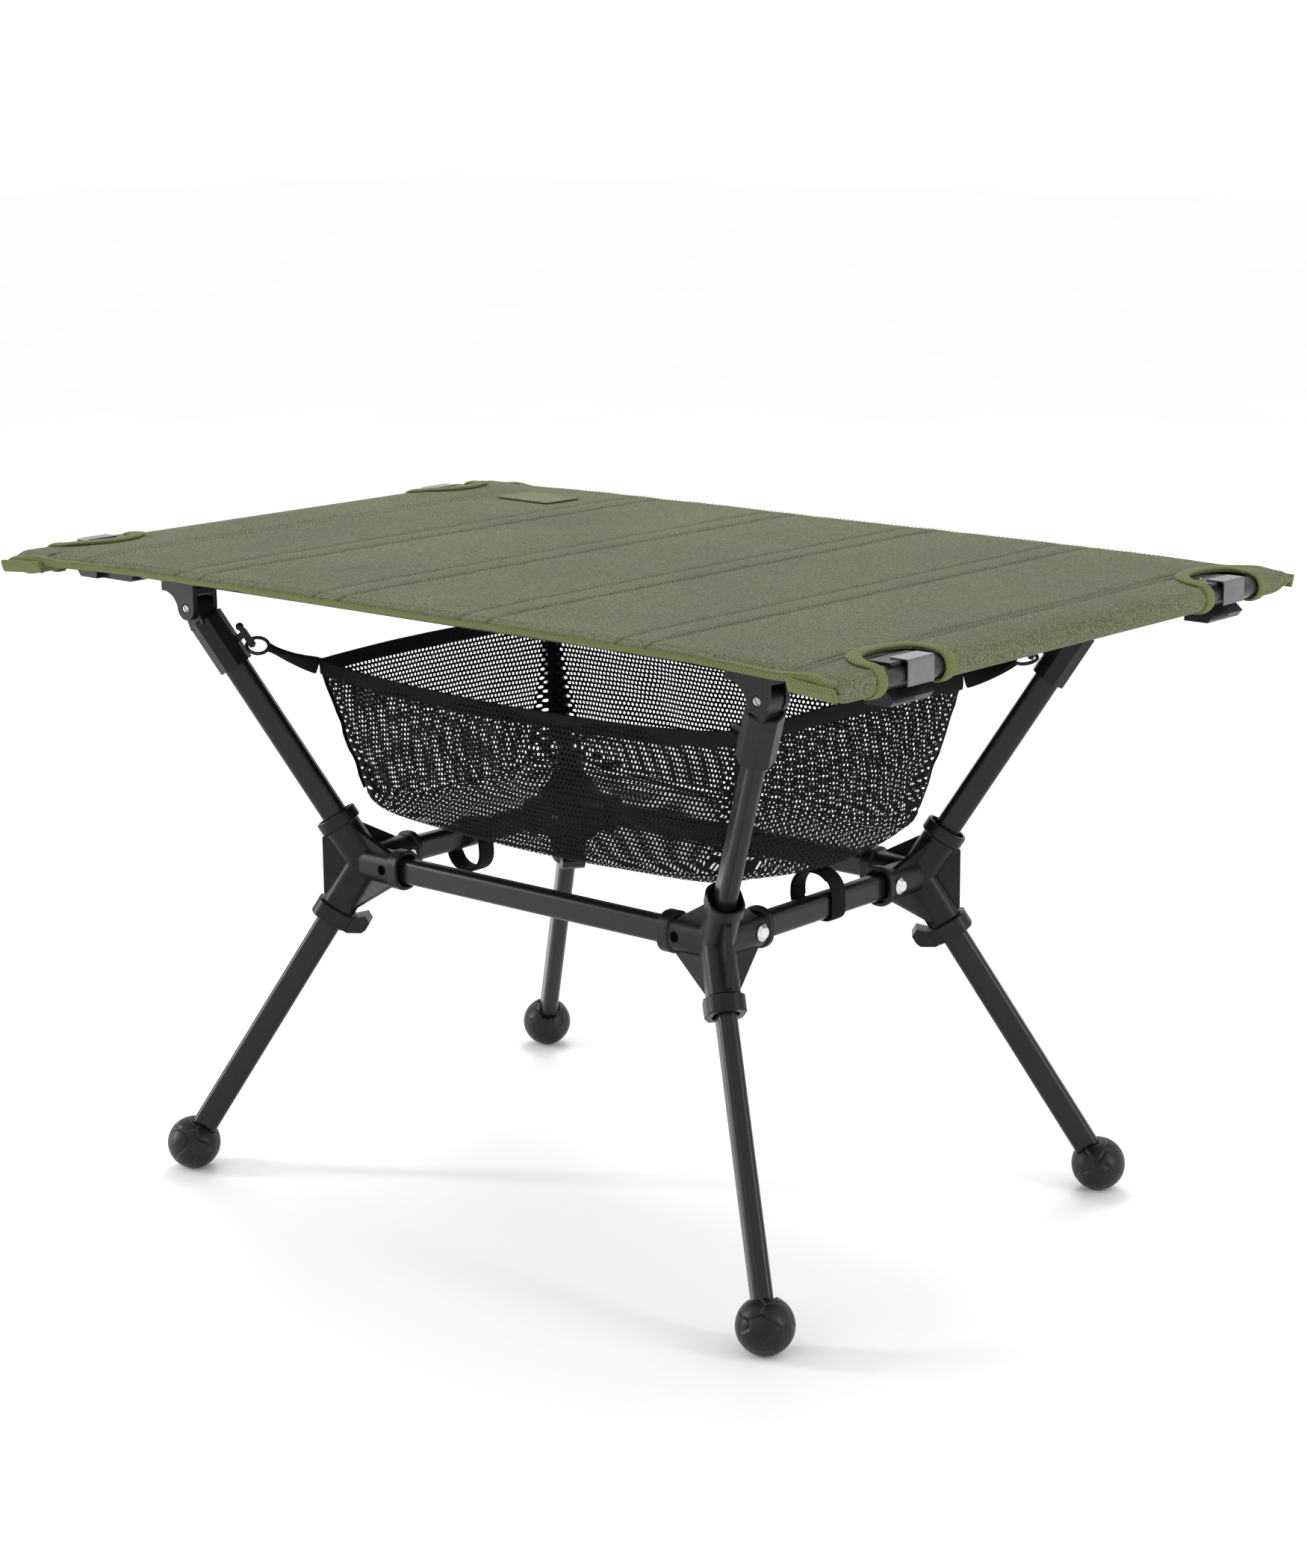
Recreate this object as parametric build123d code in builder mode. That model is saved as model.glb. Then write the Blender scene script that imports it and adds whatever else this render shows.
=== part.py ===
"""Folding camp kitchen table: ball-footed pole frame, mesh basket, slatted fabric top.

Millimetres, +Z up.  The origin is on the ground under the middle of the table, X runs
along the table, and -Y is its front.  Every corner repeats the same set of pieces.
"""
import os
from math import hypot

from build123d import *

os.makedirs("parts", exist_ok=True)

# ---------------------------------------------------------------- driving dimensions
HUB = Vector(163.5, 110.5, 233.0)  # where a corner's four poles meet
FOOT = Vector(269.5, 191.0, 18.8)  # middle of a ball foot
PIVOT = Vector(259.0, 176.0, 417.0)  # pin between an upright and its bracket

POLE_MAJOR = 18.2  # flattened pole, upright way
POLE_MINOR = 13.0  # flattened pole, flat way
POLE_CORNER = 4.8
POLE_WALL = 1.3
SOCKET_FLOOR = 14.0  # from the meeting point to the bottom of every socket
SOCKET_FIT = 0.12  # gap round a pole in its socket

BALL_RADIUS = 19.2

TOP_HEIGHT = 457.0  # upper face of the cloth
TOP_HALF_WIDTH = 245.0
CLOTH = 1.4
END_TUBE_X = 364.0
END_TUBE_Z = 446.5
END_TUBE_RADIUS = 7.5
END_TUBE_HALF_LENGTH = 238.0
END_TUBE_WALL = 1.2
RAIL_Z = 441.0
RAIL_HALF_LENGTH = 340.0
SLAT_CENTRES = (-191.0, -55.5, 76.0, 207.5)
SLAT_WIDTH = 22.0
SLAT_BOTTOM = 450.4
SLAT_TOP = 455.1
SLAT_HALF_LENGTH = 234.0

LONG_REACH = 42.0  # hub socket for a long bar
CROSS_REACH = 46.0  # hub socket for a cross bar
UPPER_REACH = 40.6  # hub socket for an upright
LOWER_REACH = 51.0  # hub socket for a leg
RIVET_FROM_HUB = 34.0
CORE_HOLE_FROM_HUB = 27.0
WEB = 3.4

SLEEVE_START = 167.5  # along the upright, from the meeting point
SLEEVE_END = 208.5
SLEEVE_ACROSS_FLATS = 23.6

EAR_INNER = 7.3  # half the gap of the bracket's fork
EAR_OUTER = 11.0
LUG_RADIUS = 8.5
PIN_RADIUS = 2.0
PIN_FIT = 0.05

CORNERS = {
    "front_left": (-1, -1),
    "front_right": (1, -1),
    "rear_left": (-1, 1),
    "rear_right": (1, 1),
}


# ---------------------------------------------------------------- shared helpers
def at_corner(point, corner):
    """The point of the rear right quarter, moved to another corner."""
    side_x, side_y = corner
    return Vector(point.X * side_x, point.Y * side_y, point.Z)


def limb_plane(start, end):
    """Plane at start: its normal runs to end, and its x points up or down, outward."""
    along = (end - start).normalized()
    flat = Vector(along.X, along.Y, 0).normalized()
    across = along.cross(flat.cross(Vector(0, 0, 1)))
    if across.dot(flat) < 0:
        across = across * -1
    return Plane(origin=start, x_dir=across, z_dir=along)


def side_plane(section):
    """Side view of a limb: x stands off it, outward, and y runs along it."""
    return Plane(origin=section.origin, x_dir=section.x_dir, z_dir=section.x_dir.cross(section.z_dir))


def bar_plane(start, direction):
    """Section of a level bar, its x upright."""
    return Plane(origin=start, x_dir=Vector(0, 0, 1), z_dir=direction)


def front_view(y):
    """Upright plane across the table: x runs along the table and y is up."""
    return Plane(origin=(0, y, 0), x_dir=(1, 0, 0), z_dir=(0, -1, 0))


def end_view(x):
    """Upright plane across a cross bar: x runs to the front and y is up."""
    return Plane(origin=(x, 0, 0), x_dir=(0, -1, 0), z_dir=(-1, 0, 0))


def pole_section(gap=0.0):
    RectangleRounded(POLE_MAJOR + 2 * gap, POLE_MINOR + 2 * gap, POLE_CORNER + gap)


def pole(plane, length):
    """Hollow flattened pole."""
    with BuildPart() as tube:
        with BuildSketch(plane):
            pole_section()
            pole_section_inside()
        extrude(amount=length)
    return tube.part


def pole_section_inside():
    RectangleRounded(
        POLE_MAJOR - 2 * POLE_WALL,
        POLE_MINOR - 2 * POLE_WALL,
        POLE_CORNER - POLE_WALL,
        mode=Mode.SUBTRACT,
    )


def save(part, name):
    part.label = name
    export_step(part, f"parts/{name}.step")


def up_limb(corner):
    return limb_plane(at_corner(HUB, corner), at_corner(PIVOT, corner))


def down_limb(corner):
    return limb_plane(at_corner(HUB, corner), at_corner(FOOT, corner))


def inward(corner):
    """Directions of the long bar and of the cross bar, away from a hub."""
    side_x, side_y = corner
    return Vector(-side_x, 0, 0), Vector(0, -side_y, 0)


# ---------------------------------------------------------------- hubs
# socket: (start, reach, body height, body width, collar length, collar height, collar width)
UPPER_SOCKET = (-8.0, UPPER_REACH, 25.5, 22.0, 8.5, 30.5, 24.4)
LONG_SOCKET = (-7.5, LONG_REACH, 23.6, 22.0, 9.0, 28.5, 24.4)
CROSS_SOCKET = (-7.5, CROSS_REACH, 23.6, 22.0, 4.3, 28.5, 24.4)
LOWER_SOCKET = (-8.0, LOWER_REACH, 25.0, 22.0, 11.5, 31.0, 26.5)


def socket_body(plane, sizes):
    start, reach, height, width, collar, collar_height, collar_width = sizes
    with BuildSketch(plane.offset(start)) as barrel:
        RectangleRounded(height, width, 9.0)
    extrude(barrel.sketch, amount=reach - start)
    with BuildSketch(plane.offset(reach - collar - 1.5)) as neck:
        RectangleRounded(height, width, 9.0)
    with BuildSketch(plane.offset(reach - collar)) as shoulder:
        RectangleRounded(collar_height, collar_width, 11.0)
    loft([neck.sketch, shoulder.sketch])
    extrude(shoulder.sketch, amount=collar - 0.8)
    with BuildSketch(plane.offset(reach - 0.8)) as lip:
        RectangleRounded(collar_height, collar_width, 11.0)
    extrude(lip.sketch, amount=0.8, taper=40)


def socket_bore(plane, reach, mouth_height, mouth_width, mouth_depth):
    with BuildSketch(plane.offset(SOCKET_FLOOR)) as bore:
        pole_section(SOCKET_FIT)
    extrude(bore.sketch, amount=reach, mode=Mode.SUBTRACT)
    with BuildSketch(plane.offset(reach - mouth_depth)) as mouth:
        RectangleRounded(mouth_height, mouth_width, 0.46 * mouth_width)
    extrude(mouth.sketch, amount=mouth_depth + 1, mode=Mode.SUBTRACT)


def web(origin, bar, limb, along_limb, bar_far, bar_edge, dip):
    """Flat triangular web in the plane of a bar and a limb."""
    normal = bar.cross(limb).normalized()
    plane = Plane(origin=origin, x_dir=bar, z_dir=normal)
    limb_x = limb.dot(plane.x_dir)
    limb_y = limb.dot(plane.y_dir)
    rise = 1 if limb_y > 0 else -1
    with BuildSketch(plane) as triangle:
        with BuildLine():
            Polyline(
                (0, 0),
                (bar_far, 0),
                (bar_far, rise * bar_edge),
                (limb_x * along_limb + dip, limb_y * along_limb + rise * 1.5),
                (limb_x * along_limb, limb_y * along_limb),
                close=True,
            )
        make_face()
    extrude(triangle.sketch, amount=WEB / 2, both=True)


def hub(corner):
    """Moulded corner: four sockets, four webs and an outer gusset."""
    centre = at_corner(HUB, corner)
    to_long, to_cross = inward(corner)
    upper = up_limb(corner)
    lower = down_limb(corner)
    long_plane = bar_plane(centre, to_long)
    cross_plane = bar_plane(centre, to_cross)
    outward = Vector(corner[0] * 0.82, corner[1] * 0.572, 0).normalized()
    gusset_plane = Plane(origin=centre, x_dir=outward, z_dir=outward.cross(Vector(0, 0, 1)))
    with BuildPart() as moulding:
        socket_body(upper, UPPER_SOCKET)
        socket_body(lower, LOWER_SOCKET)
        socket_body(long_plane, LONG_SOCKET)
        socket_body(cross_plane, CROSS_SOCKET)
        # heel of the leg socket: the collar runs on towards the table's middle
        with BuildSketch(side_plane(lower)):
            with BuildLine():
                Polyline(
                    (0, 40), (0, 51), (-15, 51), (-24, 45.5),
                    (-25.5, 42), (-25.5, 36), (-20, 33), (-13, 40),
                    close=True,
                )
            make_face()
        extrude(amount=9.0, both=True)
        web(centre, to_long, upper.z_dir, 31.0, 31.0, 11.0, 13.0)
        web(centre, to_cross, upper.z_dir, 31.0, 36.0, 11.0, 13.0)
        web(centre, to_long, lower.z_dir, 38.0, 34.0, 11.0, 14.0)
        web(centre, to_cross, lower.z_dir, 38.0, 38.0, 11.0, 13.0)
        with BuildSketch(gusset_plane):
            with BuildLine():
                Polyline((4, 0), (26, 22), (31, 17.5), (31, -23.5), (27, -28), close=True)
            make_face()
        extrude(amount=WEB / 2 + 0.3, both=True)
        socket_bore(upper, UPPER_REACH, 26.0, 21.4, 9.0)
        socket_bore(lower, LOWER_REACH, 22.4, 17.6, 5.0)
        socket_bore(long_plane, LONG_REACH, 23.6, 19.0, 7.0)
        socket_bore(cross_plane, CROSS_REACH, 23.6, 19.0, 5.0)
        # rivet hole through the cross-bar socket
        with BuildSketch(Plane.YZ):
            with Locations((centre.Y + to_cross.Y * RIVET_FROM_HUB, HUB.Z)):
                Circle(2.5)
        extrude(amount=corner[0] * 200, mode=Mode.SUBTRACT)
        # moulding core hole in the outer wall of the long-bar socket
        with BuildSketch(front_view(centre.Y)):
            with Locations((centre.X + to_long.X * CORE_HOLE_FROM_HUB, HUB.Z)):
                Circle(3.7)
        extrude(amount=-corner[1] * 20, mode=Mode.SUBTRACT)
    return moulding.part


for name, corner in CORNERS.items():
    save(hub(corner), f"hub_{name}")

# ---------------------------------------------------------------- level bars
bar_start = SOCKET_FLOOR + 0.4
for name, side_y in (("front", -1), ("rear", 1)):
    long_start = Vector(-HUB.X + bar_start, side_y * HUB.Y, HUB.Z)
    save(pole(bar_plane(long_start, Vector(1, 0, 0)), 2 * (HUB.X - bar_start)), f"long_bar_{name}")

rivet_y = HUB.Y - RIVET_FROM_HUB
for name, side_x in (("left", -1), ("right", 1)):
    with BuildPart() as cross_bar:
        with BuildSketch(bar_plane(Vector(side_x * HUB.X, bar_start - HUB.Y, HUB.Z), Vector(0, 1, 0))):
            pole_section()
            pole_section_inside()
        extrude(amount=2 * (HUB.Y - bar_start))
        with BuildSketch(Plane.YZ.offset(side_x * HUB.X)):
            with Locations((-rivet_y, HUB.Z), (rivet_y, HUB.Z)):
                Circle(2.5)
        extrude(amount=20, both=True, mode=Mode.SUBTRACT)
    save(cross_bar.part, f"cross_bar_{name}")

# domed rivets that keep the cross bars in their sockets
RIVET_HEAD = 6.0
RIVET_SHANK = 2.45
with BuildPart() as rivets:
    for side_x, side_y in CORNERS.values():
        rivet_plane = Plane(
            origin=(side_x * (HUB.X + 11.0), side_y * rivet_y, HUB.Z),
            x_dir=(0, 1, 0),
            z_dir=(side_x, 0, 0),
        )
        with BuildSketch(rivet_plane.offset(-22.05)):
            Circle(RIVET_SHANK)
        extrude(amount=22.1)
        with BuildSketch(rivet_plane.offset(-24.0)):
            Circle(4.0)
        extrude(amount=1.95)
        with BuildSketch(rivet_plane.offset(0.05)):
            Circle(RIVET_HEAD)
        extrude(amount=0.9)
        with BuildSketch(rivet_plane.offset(0.95)):
            Circle(RIVET_HEAD)
        extrude(amount=2.0, taper=50)
save(rivets.part, "cross_bar_rivets")

# ---------------------------------------------------------------- legs and ball feet
leg_length = (FOOT - HUB).length
LEG_IN_BALL = 6.0  # the pole ends this far past the middle of the ball
for name, corner in CORNERS.items():
    lower = down_limb(corner)
    save(pole(lower.offset(SOCKET_FLOOR + 0.4), leg_length - SOCKET_FLOOR - 0.4 + LEG_IN_BALL), f"leg_{name}")

    middle = at_corner(FOOT, corner)
    with BuildPart() as ball:
        with Locations(middle):
            Sphere(BALL_RADIUS)
        with BuildSketch(lower.offset(leg_length)):
            pole_section(0.05)
        extrude(amount=-40, mode=Mode.SUBTRACT)
        with BuildSketch(lower.offset(leg_length)):
            pole_section(0.05)
        extrude(amount=LEG_IN_BALL + 0.1, mode=Mode.SUBTRACT)
        # shallow recess round the pole
        with BuildSketch(lower.offset(leg_length - 15.0)):
            RectangleRounded(POLE_MAJOR + 5.0, POLE_MINOR + 5.0, POLE_CORNER + 2.4)
        extrude(amount=-12, mode=Mode.SUBTRACT)
        split(bisect_by=Plane.XY, keep=Keep.TOP)
    save(ball.part, f"ball_foot_{name}")

# ---------------------------------------------------------------- uprights and sleeves
upright_length = (PIVOT - HUB).length
HOOK_BAR_TOP = 186.0
for name, corner in CORNERS.items():
    upper = up_limb(corner)
    pivot = at_corner(PIVOT, corner)
    save(pole(upper.offset(SOCKET_FLOOR + 0.4), SLEEVE_END - 10.0 - SOCKET_FLOOR), f"upright_{name}")

    lean = Vector(upper.z_dir.X, 0, upper.z_dir.Z).normalized()
    edge = Vector(lean.Z, 0, -lean.X) * (LUG_RADIUS - 1.0)
    root = pivot - lean * 15.0
    ball_tip = upper.origin + upper.x_dir * -17.8 + upper.z_dir * 189.6
    with BuildPart() as sleeve:
        with BuildSketch(upper.offset(SLEEVE_START)):
            RegularPolygon(SLEEVE_ACROSS_FLATS / 2, 8, major_radius=False, rotation=22.5)
        extrude(amount=SLEEVE_END - SLEEVE_START - 1.0)
        with BuildSketch(upper.offset(SLEEVE_END - 1.0)):
            RegularPolygon(SLEEVE_ACROSS_FLATS / 2, 8, major_radius=False, rotation=22.5)
        extrude(amount=1.0, taper=45)
        # tongue that stands in the bracket's fork
        with BuildSketch(front_view(pivot.Y)):
            with Locations((pivot.X, pivot.Z)):
                Circle(LUG_RADIUS - 1.0)
            with BuildLine():
                Polyline(
                    ((pivot + edge).X, (pivot + edge).Z),
                    ((root + edge).X, (root + edge).Z),
                    ((root - edge).X, (root - edge).Z),
                    ((pivot - edge).X, (pivot - edge).Z),
                    close=True,
                )
            make_face()
        extrude(amount=EAR_INNER - 0.3, both=True)
        with BuildSketch(upper.offset(SLEEVE_START)):
            pole_section(0.05)
        extrude(amount=SLEEVE_END - 9.4 - SLEEVE_START, mode=Mode.SUBTRACT)
        # hollows that clear the two ears of the fork
        for side in (-1, 1):
            with BuildSketch(front_view(pivot.Y + side * (EAR_INNER - 0.3))):
                with Locations((pivot.X, pivot.Z)):
                    Circle(LUG_RADIUS + 0.4)
            extrude(amount=-side * 10, mode=Mode.SUBTRACT)
        # hook for the basket: a neck, a bar that points down, and a ball tip
        with BuildSketch(side_plane(upper)):
            with BuildLine():
                Polyline(
                    (-11.5, HOOK_BAR_TOP),
                    (-16.4, HOOK_BAR_TOP),
                    (-16.4, HOOK_BAR_TOP + 2.5),
                    (-19.2, HOOK_BAR_TOP + 2.5),
                    (-20.2, HOOK_BAR_TOP),
                    (-20.6, HOOK_BAR_TOP - 12.5),
                    (-19.0, HOOK_BAR_TOP - 14.0),
                    (-16.2, HOOK_BAR_TOP - 13.0),
                    (-16.2, HOOK_BAR_TOP - 4.8),
                    (-11.5, HOOK_BAR_TOP - 5.4),
                    close=True,
                )
            make_face()
        extrude(amount=2.0, both=True)
        with Locations(Plane(origin=ball_tip, x_dir=upper.x_dir, z_dir=upper.z_dir).location):
            Sphere(2.9)
        with BuildSketch(front_view(pivot.Y)):
            with Locations((pivot.X, pivot.Z)):
                Circle(PIN_RADIUS + PIN_FIT)
        extrude(amount=20, both=True, mode=Mode.SUBTRACT)
    save(sleeve.part, f"sleeve_{name}")

# ---------------------------------------------------------------- brackets and pivot pins
BRACKET_TOP = 30.5  # above the pin
BRACKET_PLAIN = 8.5  # plain end, from the pin
BRACKET_FLARE = 25.0  # flared end, from the pin
SADDLE_FLOOR = RAIL_Z - POLE_MAJOR / 2 - 0.3
HEAD_RECESS = 3.5


def bracket(corner):
    """Open saddle for a rail, over a fork for the upright's tongue."""
    side_x, side_y = corner
    flare = side_y  # front brackets flare to the left, rear ones to the right
    pivot = at_corner(PIVOT, corner)
    with BuildPart() as body:
        with BuildSketch(front_view(pivot.Y)):
            with BuildLine():
                Polyline(
                    (pivot.X - flare * LUG_RADIUS, pivot.Z),
                    (pivot.X - flare * BRACKET_PLAIN, pivot.Z + BRACKET_TOP),
                    (pivot.X + flare * BRACKET_FLARE, pivot.Z + BRACKET_TOP),
                    (pivot.X + flare * BRACKET_FLARE, pivot.Z + 10.5),
                    (pivot.X + flare * 21.0, pivot.Z + 10.5),
                )
                ThreePointArc(
                    (pivot.X + flare * 21.0, pivot.Z + 10.5),
                    (pivot.X + flare * 12.6, pivot.Z + 6.4),
                    (pivot.X + flare * LUG_RADIUS, pivot.Z),
                )
                ThreePointArc(
                    (pivot.X + flare * LUG_RADIUS, pivot.Z),
                    (pivot.X, pivot.Z - LUG_RADIUS),
                    (pivot.X - flare * LUG_RADIUS, pivot.Z),
                )
            make_face()
        extrude(amount=EAR_OUTER, both=True)
        # saddle, open above
        with BuildSketch(Plane.XY.offset(SADDLE_FLOOR)):
            with Locations((pivot.X, pivot.Y)):
                Rectangle(120, POLE_MINOR + 0.6)
        extrude(amount=40, mode=Mode.SUBTRACT)
        # fork
        with BuildSketch(Plane.XY.offset(pivot.Z + 10.2)):
            with Locations((pivot.X, pivot.Y)):
                Rectangle(120, 2 * EAR_INNER)
        extrude(amount=-40, mode=Mode.SUBTRACT)
        with BuildSketch(front_view(pivot.Y)):
            with Locations((pivot.X, pivot.Z)):
                Circle(PIN_RADIUS + PIN_FIT)
        extrude(amount=30, both=True, mode=Mode.SUBTRACT)
        for face in (pivot.Y - EAR_OUTER, pivot.Y + EAR_OUTER):
            with BuildSketch(front_view(face)):
                with Locations((pivot.X, pivot.Z)):
                    Circle(HEAD_RECESS)
            extrude(amount=1.5, both=True, mode=Mode.SUBTRACT)
    return body.part


for name, corner in CORNERS.items():
    save(bracket(corner), f"bracket_{name}")
    pivot = at_corner(PIVOT, corner)
    out = corner[1]
    with BuildPart() as pin:
        with BuildSketch(Plane(origin=pivot, x_dir=(1, 0, 0), z_dir=(0, 0, 1))):
            with BuildLine():
                Polyline(
                    (0, out * (EAR_OUTER + 0.4)),
                    (2.4, out * (EAR_OUTER + 0.4)),
                    (3.1, out * (EAR_OUTER - 0.2)),
                    (3.1, out * (EAR_OUTER - 1.45)),
                    (PIN_RADIUS, out * (EAR_OUTER - 1.45)),
                    (PIN_RADIUS, -out * (EAR_OUTER - 1.45)),
                    (3.1, -out * (EAR_OUTER - 1.45)),
                    (3.1, -out * (EAR_OUTER - 0.3)),
                    (0, -out * (EAR_OUTER - 0.3)),
                    close=True,
                )
            make_face()
        revolve(axis=Axis(pivot, (0, 1, 0)))
        # driver slot
        with BuildSketch(front_view(pivot.Y + out * (EAR_OUTER + 0.5))):
            with Locations((pivot.X, pivot.Z)):
                Rectangle(0.9, 7, rotation=35)
        extrude(amount=0.9, both=True, mode=Mode.SUBTRACT)
    save(pin.part, f"pivot_pin_{name}")

# ---------------------------------------------------------------- top frame
for name, side_y in (("front", -1), ("rear", 1)):
    rail_start = Vector(-RAIL_HALF_LENGTH, side_y * PIVOT.Y, RAIL_Z)
    save(pole(bar_plane(rail_start, Vector(1, 0, 0)), 2 * RAIL_HALF_LENGTH), f"rail_{name}")

for name, side_x in (("left", -1), ("right", 1)):
    with BuildPart() as end_tube:
        with BuildSketch(front_view(END_TUBE_HALF_LENGTH)):
            with Locations((side_x * END_TUBE_X, END_TUBE_Z)):
                Circle(END_TUBE_RADIUS)
                Circle(END_TUBE_RADIUS - END_TUBE_WALL, mode=Mode.SUBTRACT)
        extrude(amount=2 * END_TUBE_HALF_LENGTH)
    save(end_tube.part, f"end_tube_{name}")

# clip: rail socket behind, and a jaw that takes the end tube from outside
CLIP_GRIP = END_TUBE_RADIUS + 0.2
CLIP_BACK = -24.0  # jaw's width, from the rail, on its long side
CLIP_FRONT = 15.0  # and on its short side
CLIP_TOP = 9.2
PLATE_HALF_WIDTH = 13.0


def clip_frame(corner):
    """Side view of a clip about the end tube's middle, x pointing out of the table."""
    side_x, side_y = corner
    return Plane(
        origin=(side_x * END_TUBE_X, side_y * PIVOT.Y, END_TUBE_Z),
        x_dir=(side_x, 0, 0),
        z_dir=(0, -side_x, 0),
    )


def clip(corner):
    view = clip_frame(corner)
    with BuildPart() as jaw:
        with BuildSketch(view.offset(-CLIP_FRONT)):
            with BuildLine():
                low = (1.5, -((CLIP_GRIP**2 - 1.5**2) ** 0.5))
                high = (4.2, (CLIP_GRIP**2 - 4.2**2) ** 0.5)
                ThreePointArc(low, (-CLIP_GRIP, 0), high)
                Polyline(
                    high,
                    (5.6, 7.8),
                    (4.2, CLIP_TOP),
                    (-12.5, CLIP_TOP),
                    (-14.0, 7.5),
                    (-14.0, -17.0),
                    (4.0, -17.0),
                    (7.6, -12.8),
                    low,
                )
            make_face()
        extrude(amount=CLIP_FRONT - CLIP_BACK)
        # ramp that leads the end tube in
        with BuildSketch(view.offset(3.0)):
            with BuildLine():
                Polyline((1.0, -9.5), (7.4, -12.9), (7.4, -14.5), (-4.0, -12.0), close=True)
            make_face()
        extrude(amount=19.0)
        # socket for the rail's end
        with BuildSketch(view.offset(-9.6)):
            with Locations((-30.0, RAIL_Z - END_TUBE_Z)):
                RectangleRounded(34.0, 23.0, 2.5)
        extrude(amount=19.2)
        with BuildSketch(Plane(origin=view.origin, x_dir=(0, 0, 1), z_dir=view.x_dir).offset(-60)):
            with Locations((RAIL_Z - END_TUBE_Z, 0)):
                pole_section(0.05)
        extrude(amount=60 - END_TUBE_X + RAIL_HALF_LENGTH + 0.2, mode=Mode.SUBTRACT)
    return jaw.part


with BuildPart() as plates:
    for name, corner in CORNERS.items():
        view = clip_frame(corner)
        with BuildSketch(view.offset(-PLATE_HALF_WIDTH)):
            with BuildLine():
                Polyline(
                    (-4.0, CLIP_TOP + 0.02),
                    (-4.0, CLIP_TOP + 1.0),
                    (7.4, CLIP_TOP + 1.0),
                )
                ThreePointArc((7.4, CLIP_TOP + 1.0), (8.74, 9.64), (9.3, 8.3))
                Polyline((9.3, 8.3), (9.3, -6.0), (8.1, -6.0), (8.1, 7.9))
                ThreePointArc((8.1, 7.9), (7.75, 8.8), (6.8, CLIP_TOP + 0.02))
                Polyline((6.8, CLIP_TOP + 0.02), (-4.0, CLIP_TOP + 0.02))
            make_face()
        extrude(amount=2 * PLATE_HALF_WIDTH)
for name, corner in CORNERS.items():
    save(clip(corner), f"rail_clip_{name}")
save(plates.part, "clip_plates")

for index, slat_x in enumerate(SLAT_CENTRES, start=1):
    with BuildPart() as slat:
        with BuildSketch(front_view(SLAT_HALF_LENGTH)):
            with Locations((slat_x, (SLAT_BOTTOM + SLAT_TOP) / 2)):
                RectangleRounded(SLAT_WIDTH, SLAT_TOP - SLAT_BOTTOM, 1.8)
        extrude(amount=2 * SLAT_HALF_LENGTH)
    save(slat.part, f"slat_{index}")

# ---------------------------------------------------------------- cloth top
SLEEVE_INNER = END_TUBE_RADIUS + 0.3
SLEEVE_OUTER = SLEEVE_INNER + 1.1
CUTOUT_INNER = 334.0  # where the openings for the clips begin
CUTOUT_HALF_WIDTH = 31.0
FLAT_END = 345.0
with BuildPart() as cloth:
    with BuildSketch(front_view(TOP_HALF_WIDTH)):
        with BuildLine():
            Polyline(
                (-END_TUBE_X, END_TUBE_Z + SLEEVE_OUTER),
                (-FLAT_END, TOP_HEIGHT),
                (FLAT_END, TOP_HEIGHT),
                (END_TUBE_X, END_TUBE_Z + SLEEVE_OUTER),
                (END_TUBE_X, END_TUBE_Z + SLEEVE_INNER),
                (FLAT_END, TOP_HEIGHT - CLOTH),
                (-FLAT_END, TOP_HEIGHT - CLOTH),
                (-END_TUBE_X, END_TUBE_Z + SLEEVE_INNER),
                close=True,
            )
        make_face()
        with Locations((-END_TUBE_X, END_TUBE_Z), (END_TUBE_X, END_TUBE_Z)):
            Circle(SLEEVE_OUTER)
            Circle(SLEEVE_INNER, mode=Mode.SUBTRACT)
    extrude(amount=2 * TOP_HALF_WIDTH)
    with BuildSketch(Plane.XY.offset(END_TUBE_Z - 20)):
        for side_x, side_y in CORNERS.values():
            with Locations((side_x * (CUTOUT_INNER + 30), side_y * (PIVOT.Y + 2.0))):
                RectangleRounded(60, 2 * CUTOUT_HALF_WIDTH, 16)
    extrude(amount=50, mode=Mode.SUBTRACT)
save(cloth.part, "cloth_top")

# ---------------------------------------------------------------- mesh basket
# outline levels: (height, length, width, corner radius)
BASKET_LEVELS = (
    (258.0, 318.0, 168.0, 40.0),
    (268.0, 346.0, 192.0, 34.0),
    (305.0, 372.0, 214.0, 26.0),
    (383.0, 394.0, 250.0, 12.0),
)
BASKET_WALL = 1.6


def basket_stack(shrink, lift, mode):
    outlines = []
    for height, length, width, corner_radius in BASKET_LEVELS:
        rise = lift if height == BASKET_LEVELS[0][0] else 0.0
        if shrink and height == BASKET_LEVELS[-1][0]:
            rise = 1.0
        with BuildSketch(Plane.XY.offset(height + rise)) as outline:
            RectangleRounded(length - 2 * shrink, width - 2 * shrink, corner_radius - shrink)
        outlines.append(outline.sketch)
    for below, above in zip(outlines, outlines[1:]):
        loft([below, above], mode=mode)


with BuildPart() as basket:
    basket_stack(0.0, 0.0, Mode.ADD)
    basket_stack(BASKET_WALL, BASKET_WALL, Mode.SUBTRACT)
save(basket.part, "mesh_basket")

# rubber rings on the hooks, and the webbing that ties each one to a basket corner
RING_RADIUS = 7.8
RING_CORD = 1.3
RING_HOOK_ALONG = 174.6
RING_HOOK_OFF = -13.9
PULL_SLOPE = -0.21  # drop of the pull towards the basket, per unit inward
basket_corner = Vector(BASKET_LEVELS[-1][1] / 2, BASKET_LEVELS[-1][2] / 2, BASKET_LEVELS[-1][0])


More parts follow.
